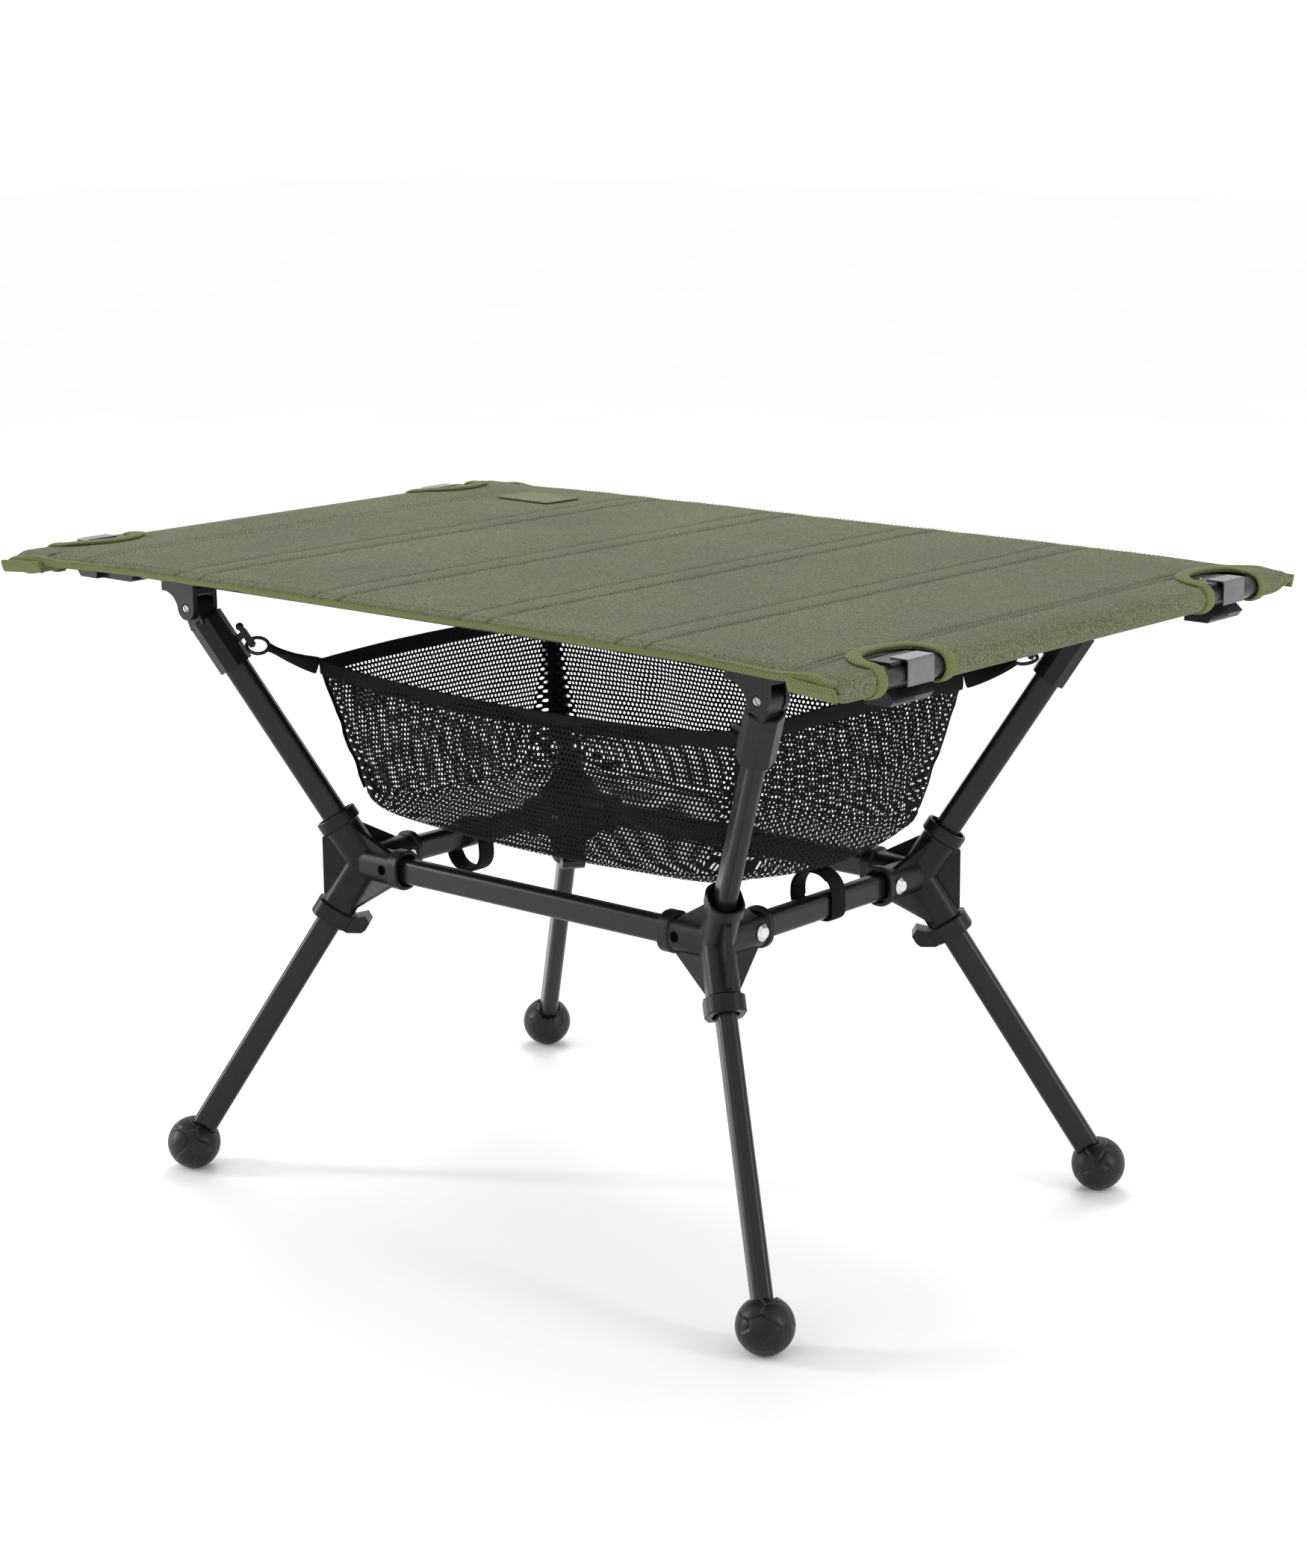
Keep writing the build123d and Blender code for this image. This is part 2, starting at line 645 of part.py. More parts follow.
def ring_plane(corner):
    """Plane of a ring that lies along the hook's gap: its x points to the basket."""
    upper = up_limb(corner)
    hooked = upper.origin + upper.x_dir * RING_HOOK_OFF + upper.z_dir * RING_HOOK_ALONG
    flat = Vector(upper.z_dir.X, upper.z_dir.Y, 0).normalized()
    pull = (flat * -1 + Vector(0, 0, PULL_SLOPE)).normalized()
    tangent = (flat.cross(Vector(0, 0, 1)) * 0.72 + upper.z_dir * 0.69).normalized()
    reach = (pull - tangent * pull.dot(tangent)).normalized()
    return Plane(origin=hooked + reach * RING_RADIUS, x_dir=reach, z_dir=reach.cross(tangent))


with BuildPart() as rings:
    for corner in CORNERS.values():
        plane = ring_plane(corner)
        with Locations(plane.location):
            Torus(RING_RADIUS, RING_CORD)
save(rings.part, "basket_rings")

with BuildPart() as ties:
    for corner in CORNERS.values():
        plane = ring_plane(corner)
        start = plane.origin + plane.x_dir * (RING_RADIUS + RING_CORD + 2.0)
        end = at_corner(basket_corner, corner) + Vector(corner[0] * 0.6, corner[1] * 0.6, -1.5)
        with BuildSketch(Plane(origin=start, x_dir=(0, 0, 1), z_dir=end - start)):
            RectangleRounded(9.0, 4.5, 2.0)
        extrude(amount=(end - start).length)
save(ties.part, "basket_ties")

# ---------------------------------------------------------------- hook-and-loop straps
STRAP = 1.6
STRAP_WIDTH = 16.0


def strap(x, y, outline, radii):
    """Closed loop of strap round a cross bar, from corner points and their radii."""
    plane = Plane(origin=(x, y, HUB.Z), x_dir=(1, 0, 0), z_dir=(0, -1, 0))
    with BuildPart() as loop:
        with BuildSketch(plane):
            with BuildLine():
                FilletPolyline(*outline, radius=radii, close=True)
            make_face()
            offset(amount=-STRAP, mode=Mode.SUBTRACT)
        extrude(amount=STRAP_WIDTH / 2, both=True)
    return loop.part


standing = ((-28.5, -11.5), (8.6, -11.5), (8.6, 23.5), (-28.5, 23.5))
save(strap(HUB.X, 10.0, standing, (15.0, 6.0, 17.0, 17.0)), "bar_strap_right")
hanging = ((-18.0, -28.0), (18.0, -28.0), (17.0, -4.0), (8.7, 11.6), (-8.7, 11.6), (-17.0, -4.0))
save(strap(-HUB.X, -3.0, hanging, (15.0, 15.0, 8.0, 5.5, 5.5, 8.0)), "bar_strap_left")

# ---------------------------------------------------------------- shock cords in the poles
CORD_RADIUS = 1.5
with BuildPart() as upright_cords:
    for corner in CORNERS.values():
        with BuildSketch(up_limb(corner).offset(SOCKET_FLOOR + 0.02)):
            Circle(CORD_RADIUS)
        extrude(amount=SLEEVE_END - 9.5 - SOCKET_FLOOR)
save(upright_cords.part, "upright_shock_cords")

for name, corner in CORNERS.items():
    with BuildPart() as leg_cord:
        with BuildSketch(down_limb(corner).offset(SOCKET_FLOOR + 0.1)):
            Circle(CORD_RADIUS)
        extrude(amount=leg_length - SOCKET_FLOOR + LEG_IN_BALL - 0.1)
    save(leg_cord.part, f"leg_shock_cord_{name}")

print("leg", round(leg_length, 1), "upright", round(upright_length, 1), "base", round(hypot(HUB.X, HUB.Y), 1))
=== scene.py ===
import math

import bmesh
import bpy
from mathutils import Matrix, Vector, noise


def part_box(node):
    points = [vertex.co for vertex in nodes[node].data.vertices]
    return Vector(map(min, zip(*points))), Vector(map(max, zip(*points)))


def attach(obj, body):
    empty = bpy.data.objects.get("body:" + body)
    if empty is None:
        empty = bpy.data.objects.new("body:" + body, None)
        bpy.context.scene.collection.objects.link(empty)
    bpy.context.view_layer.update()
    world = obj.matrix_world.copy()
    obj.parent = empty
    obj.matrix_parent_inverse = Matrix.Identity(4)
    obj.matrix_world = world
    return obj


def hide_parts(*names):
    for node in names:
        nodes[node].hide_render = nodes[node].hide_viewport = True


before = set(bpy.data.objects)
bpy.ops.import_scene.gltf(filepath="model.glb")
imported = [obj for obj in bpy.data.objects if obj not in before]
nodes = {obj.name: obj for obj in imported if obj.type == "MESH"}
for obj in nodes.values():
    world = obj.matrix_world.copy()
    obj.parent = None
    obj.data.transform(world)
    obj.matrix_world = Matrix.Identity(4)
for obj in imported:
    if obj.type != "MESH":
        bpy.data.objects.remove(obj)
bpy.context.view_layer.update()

# Looks of the camp kitchen table, round its CAD frame.  Metres, +Z up, front at -Y.
MM = 0.001
CORNERS = {
    "front_left": (-1, -1),
    "front_right": (1, -1),
    "rear_left": (-1, 1),
    "rear_right": (1, 1),
}

# ---------------------------------------------------------------- places read from the frame
cloth_low, cloth_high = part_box("cloth_top")
tube_low, tube_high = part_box("end_tube_right")
basket_low, basket_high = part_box("mesh_basket")
rail_low, rail_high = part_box("rail_front")
slat_boxes = [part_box(f"slat_{index}") for index in (1, 2, 3, 4)]

slat_high = slat_boxes[0][1]
TOP_Z = cloth_high.z
HALF_WIDTH = cloth_high.y
TUBE_X = (tube_low.x + tube_high.x) / 2
TUBE_Z = (tube_low.z + tube_high.z) / 2
ROLL = cloth_high.x - TUBE_X  # outer radius of the cloth round an end tube
RAIL_Y = (rail_low.y + rail_high.y) / -2
SEAM_SETBACK = 12.0 * MM  # from a slat's middle to each seam of its channel
slat_middles = [(low.x + high.x) / 2 for low, high in slat_boxes]
seam_lines = [middle + side * SEAM_SETBACK for middle in slat_middles for side in (-1, 1)]
LEFT_HEM = (-TUBE_X + 61 * MM, -TUBE_X + 70 * MM)
RIGHT_HEM = (TUBE_X - 33 * MM, TUBE_X - 26 * MM)
SEAMS = (*seam_lines, *LEFT_HEM, *RIGHT_HEM)


# ---------------------------------------------------------------- materials
class Shader:
    """A Principled material built up from procedural layers in object space."""

    def __init__(self, name, colour, roughness, metallic=0.0):
        self.material = bpy.data.materials.new(name)
        self.material.use_nodes = True
        self.tree = self.material.node_tree
        self.surface = self.tree.nodes["Principled BSDF"]
        self.set("Base Color", (*colour, 1.0))
        self.set("Roughness", roughness)
        self.set("Metallic", metallic)
        self.place = self.node("ShaderNodeTexCoord").outputs["Object"]

    def node(self, kind, **settings):
        made = self.tree.nodes.new(kind)
        for key, value in settings.items():
            setattr(made, key, value)
        return made

    def link(self, source, target):
        self.tree.links.new(source, target)

    def set(self, socket, value):
        self.surface.inputs[socket].default_value = value

    def math(self, operation, *values):
        made = self.node("ShaderNodeMath", operation=operation)
        for socket, value in zip(made.inputs, values):
            if isinstance(value, (int, float)):
                socket.default_value = value
            else:
                self.link(value, socket)
        return made.outputs[0]

    def stretched(self, scale):
        made = self.node("ShaderNodeMapping")
        made.inputs["Scale"].default_value = scale
        self.link(self.place, made.inputs["Vector"])
        return made.outputs["Vector"]

    def noise(self, scale, detail=2.0, stretch=(1, 1, 1)):
        made = self.node("ShaderNodeTexNoise")
        made.inputs["Scale"].default_value = scale
        made.inputs["Detail"].default_value = detail
        self.link(self.stretched(stretch), made.inputs["Vector"])
        return made.outputs["Fac"]

    def axis(self, name):
        made = self.node("ShaderNodeSeparateXYZ")
        self.link(self.place, made.inputs[0])
        return made.outputs[name]

    def ripple(self, coordinate, pitch):
        """Rounded ridges along a coordinate, 0 to 1."""
        wave = self.math("SINE", self.math("MULTIPLY", coordinate, 2 * math.pi / pitch))
        return self.math("MULTIPLY_ADD", wave, 0.5, 0.5)

    def ramp(self, source, low, high, first, last):
        made = self.node("ShaderNodeValToRGB")
        made.color_ramp.elements[0].position = low
        made.color_ramp.elements[1].position = high
        made.color_ramp.elements[0].color = (*first, 1.0)
        made.color_ramp.elements[1].color = (*last, 1.0)
        self.link(source, made.inputs["Fac"])
        return made.outputs["Color"]

    def mix(self, amount, first, second, blend_type="MIX"):
        made = self.node("ShaderNodeMix", data_type="RGBA", blend_type=blend_type)
        for socket, value in zip((made.inputs[0], made.inputs[6], made.inputs[7]), (amount, first, second)):
            if isinstance(value, (int, float)):
                socket.default_value = value
            else:
                self.link(value, socket)
        return made.outputs[2]

    def colour(self, source):
        self.link(source, self.surface.inputs["Base Color"])

    def rough(self, source, low, high):
        made = self.node("ShaderNodeMapRange")
        made.inputs["To Min"].default_value = low
        made.inputs["To Max"].default_value = high
        self.link(source, made.inputs["Value"])
        self.link(made.outputs["Result"], self.surface.inputs["Roughness"])

    def relief(self, height, strength, depth, rounded=0.0):
        """Bump over what is there, with edges rounded in shading when asked."""
        made = self.node("ShaderNodeBump")
        made.inputs["Strength"].default_value = strength
        made.inputs["Distance"].default_value = depth
        self.link(height, made.inputs["Height"])
        before = self.surface.inputs["Normal"].links
        if before:
            self.link(before[0].from_socket, made.inputs["Normal"])
        elif rounded:
            edge = self.node("ShaderNodeBevel", samples=4)
            edge.inputs["Radius"].default_value = rounded
            self.link(edge.outputs["Normal"], made.inputs["Normal"])
        self.link(made.outputs["Normal"], self.surface.inputs["Normal"])


def moulded_plastic():
    shader = Shader("moulded_black_plastic", (0.01, 0.0105, 0.0115), 0.4)
    shader.set("Specular IOR Level", 0.22)
    cloud = shader.noise(45, 4)
    shader.colour(shader.ramp(cloud, 0.3, 0.75, (0.004, 0.0046, 0.006), (0.0105, 0.0118, 0.0145)))
    shader.rough(shader.noise(220, 3), 0.26, 0.44)
    shader.relief(shader.noise(1500, 2), 0.3, 0.00025, rounded=0.0007)
    return shader.material


def pole_paint(name, tint):
    shader = Shader(name, tint, 0.3)
    shader.set("Specular IOR Level", 0.3)
    deep = tuple(0.88 * value for value in tint)
    light = tuple(1.12 * value for value in tint)
    shader.colour(shader.ramp(shader.noise(30, 4), 0.3, 0.75, deep, light))
    shader.rough(shader.noise(160, 4), 0.24, 0.32)
    shader.relief(shader.noise(2600, 2), 0.06, 0.00004, rounded=0.0003)
    return shader.material


def ball_plastic():
    """Dull moulded ball with shallow seams between its panels."""
    shader = Shader("ball_plastic", (0.006, 0.006, 0.007), 0.45)
    shader.set("Specular IOR Level", 0.28)
    cells = shader.node("ShaderNodeTexVoronoi", feature="DISTANCE_TO_EDGE")
    cells.inputs["Scale"].default_value = 62
    shader.link(shader.place, cells.inputs["Vector"])
    seam = shader.math("MINIMUM", shader.math("MULTIPLY", cells.outputs["Distance"], 14), 1.0)
    shader.colour(shader.ramp(shader.noise(70, 4), 0.3, 0.8, (0.003, 0.003, 0.0035), (0.0095, 0.0095, 0.011)))
    shader.rough(shader.noise(120, 4), 0.28, 0.52)
    shader.relief(seam, 0.8, 0.0009)
    shader.relief(shader.noise(1300, 2), 0.25, 0.0002)
    return shader.material


def metal(name, tint, low, high, scratch=(1, 1, 1)):
    shader = Shader(name, tint, low, 1.0)
    deep = tuple(0.78 * value for value in tint)
    shader.colour(shader.ramp(shader.noise(90, 4), 0.25, 0.8, deep, tint))
    shader.rough(shader.noise(700, 4, scratch), low, high)
    shader.relief(shader.noise(2400, 2, scratch), 0.22, 0.00015, rounded=0.0004)
    return shader.material


OLIVE_DARK = (0.04, 0.047, 0.02)
OLIVE = (0.08, 0.092, 0.05)
OLIVE_LIGHT = (0.185, 0.198, 0.118)
THREAD_PITCH = 0.9 * MM
SEAM_SHADE_SCALE = 333.0  # painted shade along a seam fades out over about 3 mm


def woven(name, dark, middle, light, pitch=THREAD_PITCH, seams=()):
    """Plain heather weave: crossing threads, flecks along both, slow wear, and painted shade along the seams.
    """
    shader = Shader(name, middle, 0.9)
    shader.set("Sheen Weight", 0.03)
    shader.set("Sheen Roughness", 0.5)
    shader.set("Specular IOR Level", 0.12)
    warp = shader.noise(950, 3, (0.6, 1.5, 1))
    weft = shader.noise(950, 3, (1.5, 0.6, 1))
    fleck = shader.math("MULTIPLY", shader.math("ADD", warp, weft), 0.5)
    base = shader.ramp(fleck, 0.37, 0.64, dark, light)
    slow = shader.ramp(shader.noise(9, 3), 0.3, 0.75, (0.86, 0.86, 0.86), (1.08, 1.08, 1.06))
    toned = shader.mix(1.0, base, slow, "MULTIPLY")
    # painted shade: the colour is darkened to 0.6 along each seam and hem line, where the stitched cloth dips
    if seams:
        place = shader.axis("X")
        near = 1.0
        for seam in seams:
            off = shader.math("ABSOLUTE", shader.math("SUBTRACT", place, seam))
            near = shader.math("MINIMUM", near, off)
        reach = shader.math("MULTIPLY", near, SEAM_SHADE_SCALE)
        line = shader.ramp(reach, 0.3, 1.0, (0.6, 0.6, 0.6), (1, 1, 1))
        toned = shader.mix(1.0, toned, line, "MULTIPLY")
    shader.colour(toned)
    shader.rough(fleck, 0.8, 0.98)
    across = shader.ripple(shader.axis("X"), pitch)
    along = shader.ripple(shader.axis("Y"), pitch)
    shader.relief(shader.math("MULTIPLY", across, along), 0.55, 0.00022)
    shader.relief(fleck, 0.35, 0.0002)
    return shader.material


def ribbed_tape():
    """Twill tape that binds the cloth's edges."""
    shader = Shader("binding_tape", (0.14, 0.165, 0.07), 0.85)
    shader.set("Sheen Weight", 0.05)
    shader.set("Specular IOR Level", 0.15)
    along = shader.math("ADD", shader.axis("X"), shader.axis("Y"))
    chevron = shader.math("PINGPONG", shader.axis("Z"), 4.5 * MM)
    slant = shader.math("ADD", along, chevron)
    ribs = shader.ripple(slant, 2.2 * MM)
    threads = shader.noise(1400, 2)
    tone = shader.math("MULTIPLY_ADD", threads, 0.45, shader.math("MULTIPLY", ribs, 0.6))
    shader.colour(shader.ramp(tone, 0.15, 0.85, (0.055, 0.07, 0.02), (0.19, 0.215, 0.08)))
    shader.relief(ribs, 0.8, 0.0006)
    shader.relief(threads, 0.4, 0.0003)
    return shader.material


def thread():
    shader = Shader("stitch_thread", (0.2, 0.22, 0.12), 0.7)
    shader.colour(shader.ramp(shader.noise(700, 2), 0.3, 0.7, (0.13, 0.15, 0.075), (0.27, 0.29, 0.17)))
    shader.relief(shader.noise(3000, 2), 0.4, 0.0002)
    return shader.material


def webbing(name="black_webbing"):
    shader = Shader(name, (0.007, 0.007, 0.008), 0.75)
    shader.set("Specular IOR Level", 0.1)
    ribs = shader.ripple(shader.math("ADD", shader.axis("X"), shader.axis("Y")), 1.5 * MM)
    rows = shader.ripple(shader.axis("Z"), 1.3 * MM)
    weave = shader.math("MULTIPLY", ribs, rows)
    shader.colour(shader.ramp(weave, 0.1, 0.9, (0.0035, 0.0035, 0.004), (0.014, 0.014, 0.015)))
    shader.relief(weave, 0.7, 0.0004)
    shader.relief(shader.noise(1800, 2), 0.35, 0.0002)
    return shader.material


def rubber():
    shader = Shader("ring_rubber", (0.012, 0.012, 0.012), 0.6)
    shader.colour(shader.ramp(shader.noise(200, 3), 0.3, 0.8, (0.008, 0.008, 0.008), (0.02, 0.02, 0.02)))
    shader.relief(shader.noise(1600, 2), 0.35, 0.0002)
    return shader.material


HOLE_PITCH = 3.95 * MM
HOLE_RADIUS = 1.04 * MM
MESH_CELLS_ASIDE = 400


def open_mesh():
    """Knitted mesh: rows of offset round holes, and a thread texture on what is left."""
    shader = Shader("basket_mesh", (0.006, 0.006, 0.0065), 0.7)
    shader.set("Specular IOR Level", 0.08)
    cloth_place = shader.node("ShaderNodeUVMap", uv_map="weave").outputs["UV"]
    cell = (HOLE_PITCH, HOLE_PITCH * math.sqrt(3), 1)

    def nearest(shift):
        moved = shader.node("ShaderNodeVectorMath", operation="ADD")
        offset = MESH_CELLS_ASIDE + shift  # keeps both coordinates above zero
        moved.inputs[1].default_value = (offset * cell[0], offset * cell[1], 0)
        shader.link(cloth_place, moved.inputs[0])
        wrapped = shader.node("ShaderNodeVectorMath", operation="MODULO")
        wrapped.inputs[1].default_value = cell
        shader.link(moved.outputs[0], wrapped.inputs[0])
        centred = shader.node("ShaderNodeVectorMath", operation="SUBTRACT")
        centred.inputs[1].default_value = (cell[0] / 2, cell[1] / 2, 0)
        shader.link(wrapped.outputs[0], centred.inputs[0])
        reach = shader.node("ShaderNodeVectorMath", operation="LENGTH")
        shader.link(centred.outputs[0], reach.inputs[0])
        return reach.outputs["Value"]

    distance = shader.math("MINIMUM", nearest(0.0), nearest(0.5))
    solid = shader.math("GREATER_THAN", distance, HOLE_RADIUS)
    shader.link(solid, shader.surface.inputs["Alpha"])
    threads = shader.noise(1500, 2)
    shader.colour(shader.ramp(threads, 0.3, 0.75, (0.0015, 0.0015, 0.002), (0.008, 0.008, 0.009)))
    shader.relief(shader.math("MULTIPLY", distance, 260), 0.5, 0.0005)
    shader.relief(threads, 0.4, 0.0002)
    return shader.material


PLASTIC = moulded_plastic()
POLE = pole_paint("pole_paint", (0.0065, 0.007, 0.0085))
TUBE = pole_paint("end_tube_paint", (0.02, 0.0205, 0.022))
BALL = ball_plastic()
STEEL = metal("pin_steel", (0.42, 0.42, 0.43), 0.3, 0.45)
RIVET = metal("rivet_metal", (0.72, 0.72, 0.73), 0.14, 0.26)
PLATE = metal("clip_plate_metal", (0.2, 0.205, 0.21), 0.28, 0.42, (1, 0.15, 1))
CLOTH = woven("olive_cloth", OLIVE_DARK, OLIVE, OLIVE_LIGHT, seams=SEAMS)
PATCH = woven("patch_cloth", (0.08, 0.095, 0.042), (0.13, 0.148, 0.08), (0.2, 0.22, 0.13), 1.3 * MM)
TAPE = ribbed_tape()
THREAD = thread()
WEBBING = webbing()
RUBBER = rubber()
MESH = open_mesh()


def finish_cad(name, material):
    slots = nodes[name].data.materials
    if not slots:
        slots.append(material)
    for index in range(len(slots)):
        slots[index] = material


for corner in CORNERS:
    for piece in ("hub", "sleeve", "bracket", "rail_clip"):
        finish_cad(f"{piece}_{corner}", PLASTIC)
    finish_cad(f"upright_{corner}", POLE)
    finish_cad(f"leg_{corner}", POLE)
    finish_cad(f"ball_foot_{corner}", BALL)
    finish_cad(f"pivot_pin_{corner}", STEEL)
    finish_cad(f"leg_shock_cord_{corner}", RUBBER)
for pair in ("long_bar_front long_bar_rear", "cross_bar_left cross_bar_right", "rail_front rail_rear"):
    for name in pair.split():
        finish_cad(name, POLE)
for name in ("end_tube_left", "end_tube_right"):
    finish_cad(name, TUBE)
for index in (1, 2, 3, 4):
    finish_cad(f"slat_{index}", CLOTH)
finish_cad("cross_bar_rivets", RIVET)
finish_cad("clip_plates", PLATE)
finish_cad("basket_rings", RUBBER)
finish_cad("upright_shock_cords", RUBBER)


# ---------------------------------------------------------------- mesh helpers
def smooth_step(value, low, high):
    share = min(1.0, max(0.0, (value - low) / (high - low)))
    return share * share * (3 - 2 * share)


def new_piece(name, body, material, mesh):
    piece = bpy.data.objects.new(name, mesh)
    bpy.context.scene.collection.objects.link(piece)
    mesh.materials.append(material)
    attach(piece, body)
    return piece


def grid_mesh(name, rows, closed_rows=False, closed_columns=False, uv=None, caps=False):
    """Quads between rows of points.  uv gives each point its place on the flat cloth."""
    mesh = bpy.data.meshes.new(name)
    work = bmesh.new()
    made = [[work.verts.new(point) for point in row] for row in rows]
    layer = work.loops.layers.uv.new("weave") if uv else None
    row_count, column_count = len(rows), len(rows[0])
    for row in range(row_count if closed_rows else row_count - 1):
        for column in range(column_count if closed_columns else column_count - 1):
            ring = (
                (row, column),
                (row, column + 1),
                (row + 1, column + 1),
                (row + 1, column),
            )
            face = work.faces.new([made[a % row_count][b % column_count] for a, b in ring])
            face.smooth = True
            if layer:
                for loop, (a, b) in zip(face.loops, ring):
                    loop[layer].uv = uv(a, b)
    if caps:
        work.faces.new(made[0])
        work.faces.new(list(reversed(made[-1])))
    bmesh.ops.recalc_face_normals(work, faces=work.faces)
    work.to_mesh(mesh)
    work.free()
    return mesh


def apply_modifiers(piece):
    """Bakes a piece's modifiers into its mesh."""
    graph = bpy.context.evaluated_depsgraph_get()
    done = bpy.data.meshes.new_from_object(piece.evaluated_get(graph))
    piece.modifiers.clear()
    piece.data = done


def thicken(piece, thickness, offset=0.0):
    wall = piece.modifiers.new("thickness", "SOLIDIFY")
    wall.thickness = thickness
    wall.offset = offset


def swept_band(path, side, width, thickness, closed=False, rounded=0.5):
    """Rows of a flat band's section along a path.  side(i) points across the band's width."""
    rows = []
    count = len(path)
    for index, point in enumerate(path):
        after = path[(index + 1) % count] if closed or index < count - 1 else point
        before = path[index - 1] if closed or index > 0 else point
        along = (after - before).normalized()
        across = side(index)
        across = (across - along * across.dot(along)).normalized()
        up = along.cross(across)
        row = []
        half = thickness / 2
        for step in range(12):
            angle = 2 * math.pi * step / 12
            wide = math.copysign(abs(math.cos(angle)) ** rounded, math.cos(angle))
            tall = math.copysign(abs(math.sin(angle)) ** 0.8, math.sin(angle))
            row.append(point + across * (wide * width / 2) + up * (tall * half))
        rows.append(row)
    return rows


# ---------------------------------------------------------------- cloth top
SHEET = 0.8 * MM
CORNER_FLARE = 9.0 * MM  # the end sleeves' open tips stand past the long edges
CORNER_DROOP = 2.0 * MM
TIP_FLATTENED = 0.6  # how flat the end sleeves lie past the tubes' ends
FLAT_END = TUBE_X - 16 * MM
ROLL_STEPS = 22


def long_edge(x):
    """Half the cloth's width at x: slightly hollow between the ends."""
    share = abs(x) / cloth_high.x
    return HALF_WIDTH - 1.5 * MM + (CORNER_FLARE + 1.5 * MM) * share**5


def wrinkle(x, y, scale, seed):
    return noise.noise(Vector((x * scale, y * scale, seed)))




def surface_lift(x, y):
    """How far the cloth stands off its flat height at a place."""
    lift = 0.0
    reach = abs(y) / HALF_WIDTH
    held = 1 - smooth_step(reach, 0.9, 0.98)
    for middle in slat_middles:
        off = abs(x - middle)
        lift += 0.35 * MM * held * (1 - smooth_step(off, 8 * MM, 12 * MM))
    for seam in SEAMS:
        lift -= 1.0 * MM * held * math.exp(-(((x - seam) / (2.6 * MM)) ** 2))
        pucker = wrinkle(seam * 7, y, 75, 3.0) * math.exp(-(((x - seam) / (7 * MM)) ** 2))
        lift += 0.45 * MM * held * pucker
    edge_drop = smooth_step(abs(y), slat_high.y, HALF_WIDTH)
    edge_drop *= 1 - 0.8 * smooth_step(abs(x), FLAT_END - 30 * MM, FLAT_END)
    lift -= 0.6 * MM * smooth_step(reach, 0.8, 1.0) + 2.8 * MM * edge_drop
    lift += 0.5 * MM * wrinkle(x, y * 0.6, 11, 1.0) * smooth_step(reach, 0.3, 1.0)
    lift += 0.15 * MM * wrinkle(x, y, 32, 2.0)
    near_edge = smooth_step(reach, 0.88, 1.0)
    lift += 0.35 * MM * near_edge * wrinkle(x * 2.2, 0.0, 24, 5.0)
    corner = smooth_step(abs(x), 0.24, TUBE_X) * smooth_step(abs(y), 0.2, HALF_WIDTH)
    lift -= CORNER_DROOP * corner
    return lift - 0.5 * MM


def sheet_profile():
    """Section along the table: (x, z) round the left tube, over the top, round the right."""
    radius = ROLL - SHEET / 2
    top_steps = 150
    right = []
    for step in range(ROLL_STEPS + 1):
        angle = math.radians(62 - 222 * step / ROLL_STEPS)
        right.append((TUBE_X + radius * math.cos(angle), TUBE_Z + radius * math.sin(angle)))
    inner_hem = (TUBE_X - 19 * MM, TOP_Z - 4.5 * MM)
    right.append(inner_hem)
    right.append((TUBE_X - 25 * MM, TOP_Z - 2.6 * MM))
    left = [(-x, z) for x, z in reversed(right)]
    stations = [seam + off * MM for seam in SEAMS for off in (-2.4, -1.2, 0.0, 1.2, 2.4)]
    for step in range(top_steps + 1):
        x = FLAT_END * (2 * step / top_steps - 1)
        if min(abs(x - station) for station in stations) > 1.1 * MM:
            stations.append(x)
    top = [(x, TOP_Z - SHEET / 2) for x in sorted(stations)]
    return left, top, right


def top_point(x, z, y_share, lifted):
    y = y_share * long_edge(x)
    if lifted:
        z += surface_lift(x, y)
    else:
        tip = smooth_step(abs(y), tube_high.y, HALF_WIDTH + CORNER_FLARE)
        z += (TUBE_Z + 3 * MM - z) * TIP_FLATTENED * tip
        z -= CORNER_DROOP * tip
    return Vector((x, y, z))


OPENING_HALF = 30 * MM
OPENING_DEPTH = 22 * MM  # from the end tube's middle


def cutter_mesh(side_x, side_y):
    """Crescent opening round a clip, open to the end of the table."""
    middle_y = side_y * (RAIL_Y + 4 * MM)
    outline = [(TUBE_X + 30 * MM, -OPENING_HALF)]
    for step in range(25):
        angle = math.pi * (step / 24 - 0.5)
        outline.append((TUBE_X - OPENING_DEPTH * math.cos(angle) ** 0.8, OPENING_HALF * math.sin(angle)))
    outline.append((TUBE_X + 30 * MM, OPENING_HALF))
    places = [(side_x * x, middle_y + y) for x, y in outline]
    rows = [[Vector((x, y, TOP_Z + z)) for x, y in places] for z in (-40 * MM, 20 * MM)]
    return grid_mesh("cutter", rows, closed_columns=True, caps=True), places


def cloth_top():
    left, top, right = sheet_profile()
    section = [(x, z, False) for x, z in left] + [(x, z, True) for x, z in top]
    section += [(x, z, False) for x, z in right]
    across = 128
    rows = [
        [top_point(x, z, 2 * step / across - 1, lifted) for step in range(across + 1)]
        for x, z, lifted in section
    ]
    piece = new_piece("cloth_sheet", "table_top", CLOTH, grid_mesh("cloth_sheet", rows))
    thicken(piece, SHEET)
    cutters = []
    for side_x, side_y in CORNERS.values():
        mesh, _ = cutter_mesh(side_x, side_y)
        cutter = bpy.data.objects.new("cutter", mesh)
        bpy.context.scene.collection.objects.link(cutter)
        cutters.append(cutter)
        opening = piece.modifiers.new("opening", "BOOLEAN")
        opening.operation = "DIFFERENCE"
        opening.solver = "MANIFOLD"
        opening.object = cutter
    apply_modifiers(piece)
    for cutter in cutters:
        bpy.data.objects.remove(cutter)
    return piece


